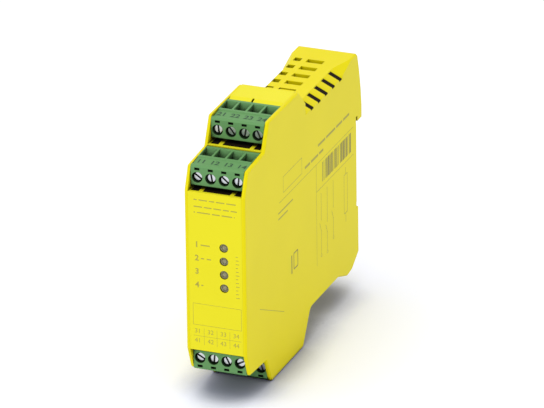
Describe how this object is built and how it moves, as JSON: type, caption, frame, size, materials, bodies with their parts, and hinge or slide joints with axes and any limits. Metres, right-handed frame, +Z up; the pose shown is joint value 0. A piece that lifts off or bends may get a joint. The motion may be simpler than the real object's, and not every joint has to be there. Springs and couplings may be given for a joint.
{
  "type": "safety relay",
  "caption": "Slim rail-mounted safety relay module with stepped plug-in screw terminals above and below, status lamps, vented housing and a sprung rail latch.",
  "frame": {"origin": "middle of the flat seat that rests against the mounting rail, at mid-height of the module", "axes": "+X across the module's width to the right seen from the front, +Y from the front panel toward the rail, +Z up"},
  "size_m": [0.0226, 0.1145, 0.099],
  "materials": {
    "housing_yellow": "moulded, fine satin grain",
    "cover_yellow": "moulded, fine satin grain",
    "plug_green": "moulded, satin",
    "header_green": "moulded, satin",
    "zinc_steel": "zinc-plated, semi-bright",
    "clamp_steel": "zinc-plated, satin",
    "tinned_brass": "tin-plated",
    "spring_steel": "rolled strip",
    "board_laminate": "solder-resist on glass laminate",
    "relay_case": "moulded",
    "capacitor_can": "sleeved can",
    "ferrite": "sintered",
    "chip_resin": "moulded resin",
    "fuse_body": "moulded",
    "holder_black": "moulded",
    "lamp_lens": "diffuse tinted resin"
  },
  "bodies": {
    "housing": {"housing_base": "housing_yellow", "front_cover": "cover_yellow", "latch_spring": "spring_steel", "main_board": "board_laminate", "relay_k1": "relay_case", "relay_k2": "relay_case", "capacitors": "capacitor_can", "choke": "ferrite", "chips": "chip_resin", "fuse": "fuse_body", "lamp_holder": "holder_black", "lamps": "lamp_lens", "header_pins": "tinned_brass", "header_upper_front": "header_green", "header_upper_rear": "header_green", "header_lower_front": "header_green", "header_lower_rear": "header_green"},
    "latch": {"foot_latch": "housing_yellow"},
    "plug_upper_front": {"plug_upper_front": "plug_green", "contacts_upper_front": "tinned_brass"},
    "screw_upper_front_1": {"screw_upper_front_1": "zinc_steel"},
    "clamp_upper_front_1": {"clamp_upper_front_1": "clamp_steel"},
    "screw_upper_front_2": {"screw_upper_front_2": "zinc_steel"},
    "clamp_upper_front_2": {"clamp_upper_front_2": "clamp_steel"},
    "screw_upper_front_3": {"screw_upper_front_3": "zinc_steel"},
    "clamp_upper_front_3": {"clamp_upper_front_3": "clamp_steel"},
    "screw_upper_front_4": {"screw_upper_front_4": "zinc_steel"},
    "clamp_upper_front_4": {"clamp_upper_front_4": "clamp_steel"},
    "plug_upper_rear": {"plug_upper_rear": "plug_green", "contacts_upper_rear": "tinned_brass"},
    "screw_upper_rear_1": {"screw_upper_rear_1": "zinc_steel"},
    "clamp_upper_rear_1": {"clamp_upper_rear_1": "clamp_steel"},
    "screw_upper_rear_2": {"screw_upper_rear_2": "zinc_steel"},
    "clamp_upper_rear_2": {"clamp_upper_rear_2": "clamp_steel"},
    "screw_upper_rear_3": {"screw_upper_rear_3": "zinc_steel"},
    "clamp_upper_rear_3": {"clamp_upper_rear_3": "clamp_steel"},
    "screw_upper_rear_4": {"screw_upper_rear_4": "zinc_steel"},
    "clamp_upper_rear_4": {"clamp_upper_rear_4": "clamp_steel"},
    "plug_lower_front": {"plug_lower_front": "plug_green", "contacts_lower_front": "tinned_brass"},
    "screw_lower_front_1": {"screw_lower_front_1": "zinc_steel"},
    "clamp_lower_front_1": {"clamp_lower_front_1": "clamp_steel"},
    "screw_lower_front_2": {"screw_lower_front_2": "zinc_steel"},
    "clamp_lower_front_2": {"clamp_lower_front_2": "clamp_steel"},
    "screw_lower_front_3": {"screw_lower_front_3": "zinc_steel"},
    "clamp_lower_front_3": {"clamp_lower_front_3": "clamp_steel"},
    "screw_lower_front_4": {"screw_lower_front_4": "zinc_steel"},
    "clamp_lower_front_4": {"clamp_lower_front_4": "clamp_steel"},
    "plug_lower_rear": {"plug_lower_rear": "plug_green", "contacts_lower_rear": "tinned_brass"},
    "screw_lower_rear_1": {"screw_lower_rear_1": "zinc_steel"},
    "clamp_lower_rear_1": {"clamp_lower_rear_1": "clamp_steel"},
    "screw_lower_rear_2": {"screw_lower_rear_2": "zinc_steel"},
    "clamp_lower_rear_2": {"clamp_lower_rear_2": "clamp_steel"},
    "screw_lower_rear_3": {"screw_lower_rear_3": "zinc_steel"},
    "clamp_lower_rear_3": {"clamp_lower_rear_3": "clamp_steel"},
    "screw_lower_rear_4": {"screw_lower_rear_4": "zinc_steel"},
    "clamp_lower_rear_4": {"clamp_lower_rear_4": "clamp_steel"}
  },
  "joints": [
    {"name": "latch_slide", "type": "slide", "parent": "housing", "child": "latch", "axis": [0, 0, -1], "range_m": [0, 0.004], "stiffness_N_per_m": 900, "springref_m": -0.0015, "deforming": ["latch_spring"]},
    {"name": "plug_upper_front_slide", "type": "slide", "parent": "housing", "child": "plug_upper_front", "axis": [0, -1, 0], "range_m": [0, 0.02]},
    {"name": "screw_upper_front_1_turn", "type": "hinge", "parent": "plug_upper_front", "child": "screw_upper_front_1", "pos_m": [-0.0075, -0.1057, 0.0343], "axis": [0, 1, 0], "range_deg": [0, 1730]},
    {"name": "clamp_upper_front_1_rise", "type": "slide", "parent": "plug_upper_front", "child": "clamp_upper_front_1", "axis": [0, -1, 0], "range_m": [0, 0.0024]},
    {"name": "screw_upper_front_2_turn", "type": "hinge", "parent": "plug_upper_front", "child": "screw_upper_front_2", "pos_m": [-0.0025, -0.1057, 0.0343], "axis": [0, 1, 0], "range_deg": [0, 1730]},
    {"name": "clamp_upper_front_2_rise", "type": "slide", "parent": "plug_upper_front", "child": "clamp_upper_front_2", "axis": [0, -1, 0], "range_m": [0, 0.0024]},
    {"name": "screw_upper_front_3_turn", "type": "hinge", "parent": "plug_upper_front", "child": "screw_upper_front_3", "pos_m": [0.0025, -0.1057, 0.0343], "axis": [0, 1, 0], "range_deg": [0, 1730]},
    {"name": "clamp_upper_front_3_rise", "type": "slide", "parent": "plug_upper_front", "child": "clamp_upper_front_3", "axis": [0, -1, 0], "range_m": [0, 0.0024]},
    {"name": "screw_upper_front_4_turn", "type": "hinge", "parent": "plug_upper_front", "child": "screw_upper_front_4", "pos_m": [0.0075, -0.1057, 0.0343], "axis": [0, 1, 0], "range_deg": [0, 1730]},
    {"name": "clamp_upper_front_4_rise", "type": "slide", "parent": "plug_upper_front", "child": "clamp_upper_front_4", "axis": [0, -1, 0], "range_m": [0, 0.0024]},
    {"name": "plug_upper_rear_slide", "type": "slide", "parent": "housing", "child": "plug_upper_rear", "axis": [0, -1, 0], "range_m": [0, 0.02]},
    {"name": "screw_upper_rear_1_turn", "type": "hinge", "parent": "plug_upper_rear", "child": "screw_upper_rear_1", "pos_m": [-0.0075, -0.0862, 0.0443], "axis": [0, 1, 0], "range_deg": [0, 1730]},
    {"name": "clamp_upper_rear_1_rise", "type": "slide", "parent": "plug_upper_rear", "child": "clamp_upper_rear_1", "axis": [0, -1, 0], "range_m": [0, 0.0024]},
    {"name": "screw_upper_rear_2_turn", "type": "hinge", "parent": "plug_upper_rear", "child": "screw_upper_rear_2", "pos_m": [-0.0025, -0.0862, 0.0443], "axis": [0, 1, 0], "range_deg": [0, 1730]},
    {"name": "clamp_upper_rear_2_rise", "type": "slide", "parent": "plug_upper_rear", "child": "clamp_upper_rear_2", "axis": [0, -1, 0], "range_m": [0, 0.0024]},
    {"name": "screw_upper_rear_3_turn", "type": "hinge", "parent": "plug_upper_rear", "child": "screw_upper_rear_3", "pos_m": [0.0025, -0.0862, 0.0443], "axis": [0, 1, 0], "range_deg": [0, 1730]},
    {"name": "clamp_upper_rear_3_rise", "type": "slide", "parent": "plug_upper_rear", "child": "clamp_upper_rear_3", "axis": [0, -1, 0], "range_m": [0, 0.0024]},
    {"name": "screw_upper_rear_4_turn", "type": "hinge", "parent": "plug_upper_rear", "child": "screw_upper_rear_4", "pos_m": [0.0075, -0.0862, 0.0443], "axis": [0, 1, 0], "range_deg": [0, 1730]},
    {"name": "clamp_upper_rear_4_rise", "type": "slide", "parent": "plug_upper_rear", "child": "clamp_upper_rear_4", "axis": [0, -1, 0], "range_m": [0, 0.0024]},
    {"name": "plug_lower_front_slide", "type": "slide", "parent": "housing", "child": "plug_lower_front", "axis": [0, -1, 0], "range_m": [0, 0.02]},
    {"name": "screw_lower_front_1_turn", "type": "hinge", "parent": "plug_lower_front", "child": "screw_lower_front_1", "pos_m": [0.0075, -0.1057, -0.0343], "axis": [0, 1, 0], "range_deg": [0, 1730]},
    {"name": "clamp_lower_front_1_rise", "type": "slide", "parent": "plug_lower_front", "child": "clamp_lower_front_1", "axis": [0, -1, 0], "range_m": [0, 0.0024]},
    {"name": "screw_lower_front_2_turn", "type": "hinge", "parent": "plug_lower_front", "child": "screw_lower_front_2", "pos_m": [0.0025, -0.1057, -0.0343], "axis": [0, 1, 0], "range_deg": [0, 1730]},
    {"name": "clamp_lower_front_2_rise", "type": "slide", "parent": "plug_lower_front", "child": "clamp_lower_front_2", "axis": [0, -1, 0], "range_m": [0, 0.0024]},
    {"name": "screw_lower_front_3_turn", "type": "hinge", "parent": "plug_lower_front", "child": "screw_lower_front_3", "pos_m": [-0.0025, -0.1057, -0.0343], "axis": [0, 1, 0], "range_deg": [0, 1730]},
    {"name": "clamp_lower_front_3_rise", "type": "slide", "parent": "plug_lower_front", "child": "clamp_lower_front_3", "axis": [0, -1, 0], "range_m": [0, 0.0024]},
    {"name": "screw_lower_front_4_turn", "type": "hinge", "parent": "plug_lower_front", "child": "screw_lower_front_4", "pos_m": [-0.0075, -0.1057, -0.0343], "axis": [0, 1, 0], "range_deg": [0, 1730]},
    {"name": "clamp_lower_front_4_rise", "type": "slide", "parent": "plug_lower_front", "child": "clamp_lower_front_4", "axis": [0, -1, 0], "range_m": [0, 0.0024]},
    {"name": "plug_lower_rear_slide", "type": "slide", "parent": "housing", "child": "plug_lower_rear", "axis": [0, -1, 0], "range_m": [0, 0.02]},
    {"name": "screw_lower_rear_1_turn", "type": "hinge", "parent": "plug_lower_rear", "child": "screw_lower_rear_1", "pos_m": [0.0075, -0.0862, -0.0443], "axis": [0, 1, 0], "range_deg": [0, 1730]},
    {"name": "clamp_lower_rear_1_rise", "type": "slide", "parent": "plug_lower_rear", "child": "clamp_lower_rear_1", "axis": [0, -1, 0], "range_m": [0, 0.0024]},
    {"name": "screw_lower_rear_2_turn", "type": "hinge", "parent": "plug_lower_rear", "child": "screw_lower_rear_2", "pos_m": [0.0025, -0.0862, -0.0443], "axis": [0, 1, 0], "range_deg": [0, 1730]},
    {"name": "clamp_lower_rear_2_rise", "type": "slide", "parent": "plug_lower_rear", "child": "clamp_lower_rear_2", "axis": [0, -1, 0], "range_m": [0, 0.0024]},
    {"name": "screw_lower_rear_3_turn", "type": "hinge", "parent": "plug_lower_rear", "child": "screw_lower_rear_3", "pos_m": [-0.0025, -0.0862, -0.0443], "axis": [0, 1, 0], "range_deg": [0, 1730]},
    {"name": "clamp_lower_rear_3_rise", "type": "slide", "parent": "plug_lower_rear", "child": "clamp_lower_rear_3", "axis": [0, -1, 0], "range_m": [0, 0.0024]},
    {"name": "screw_lower_rear_4_turn", "type": "hinge", "parent": "plug_lower_rear", "child": "screw_lower_rear_4", "pos_m": [-0.0075, -0.0862, -0.0443], "axis": [0, 1, 0], "range_deg": [0, 1730]},
    {"name": "clamp_lower_rear_4_rise", "type": "slide", "parent": "plug_lower_rear", "child": "clamp_lower_rear_4", "axis": [0, -1, 0], "range_m": [0, 0.0024]}
  ],
  "couplings": [
    {"joint": "screw_upper_front_1_turn", "follows": "clamp_upper_front_1_rise", "rad_per_m": 12566},
    {"joint": "screw_upper_front_2_turn", "follows": "clamp_upper_front_2_rise", "rad_per_m": 12566},
    {"joint": "screw_upper_front_3_turn", "follows": "clamp_upper_front_3_rise", "rad_per_m": 12566},
    {"joint": "screw_upper_front_4_turn", "follows": "clamp_upper_front_4_rise", "rad_per_m": 12566},
    {"joint": "screw_upper_rear_1_turn", "follows": "clamp_upper_rear_1_rise", "rad_per_m": 12566},
    {"joint": "screw_upper_rear_2_turn", "follows": "clamp_upper_rear_2_rise", "rad_per_m": 12566},
    {"joint": "screw_upper_rear_3_turn", "follows": "clamp_upper_rear_3_rise", "rad_per_m": 12566},
    {"joint": "screw_upper_rear_4_turn", "follows": "clamp_upper_rear_4_rise", "rad_per_m": 12566},
    {"joint": "screw_lower_front_1_turn", "follows": "clamp_lower_front_1_rise", "rad_per_m": 12566},
    {"joint": "screw_lower_front_2_turn", "follows": "clamp_lower_front_2_rise", "rad_per_m": 12566},
    {"joint": "screw_lower_front_3_turn", "follows": "clamp_lower_front_3_rise", "rad_per_m": 12566},
    {"joint": "screw_lower_front_4_turn", "follows": "clamp_lower_front_4_rise", "rad_per_m": 12566},
    {"joint": "screw_lower_rear_1_turn", "follows": "clamp_lower_rear_1_rise", "rad_per_m": 12566},
    {"joint": "screw_lower_rear_2_turn", "follows": "clamp_lower_rear_2_rise", "rad_per_m": 12566},
    {"joint": "screw_lower_rear_3_turn", "follows": "clamp_lower_rear_3_rise", "rad_per_m": 12566},
    {"joint": "screw_lower_rear_4_turn", "follows": "clamp_lower_rear_4_rise", "rad_per_m": 12566}
  ]
}
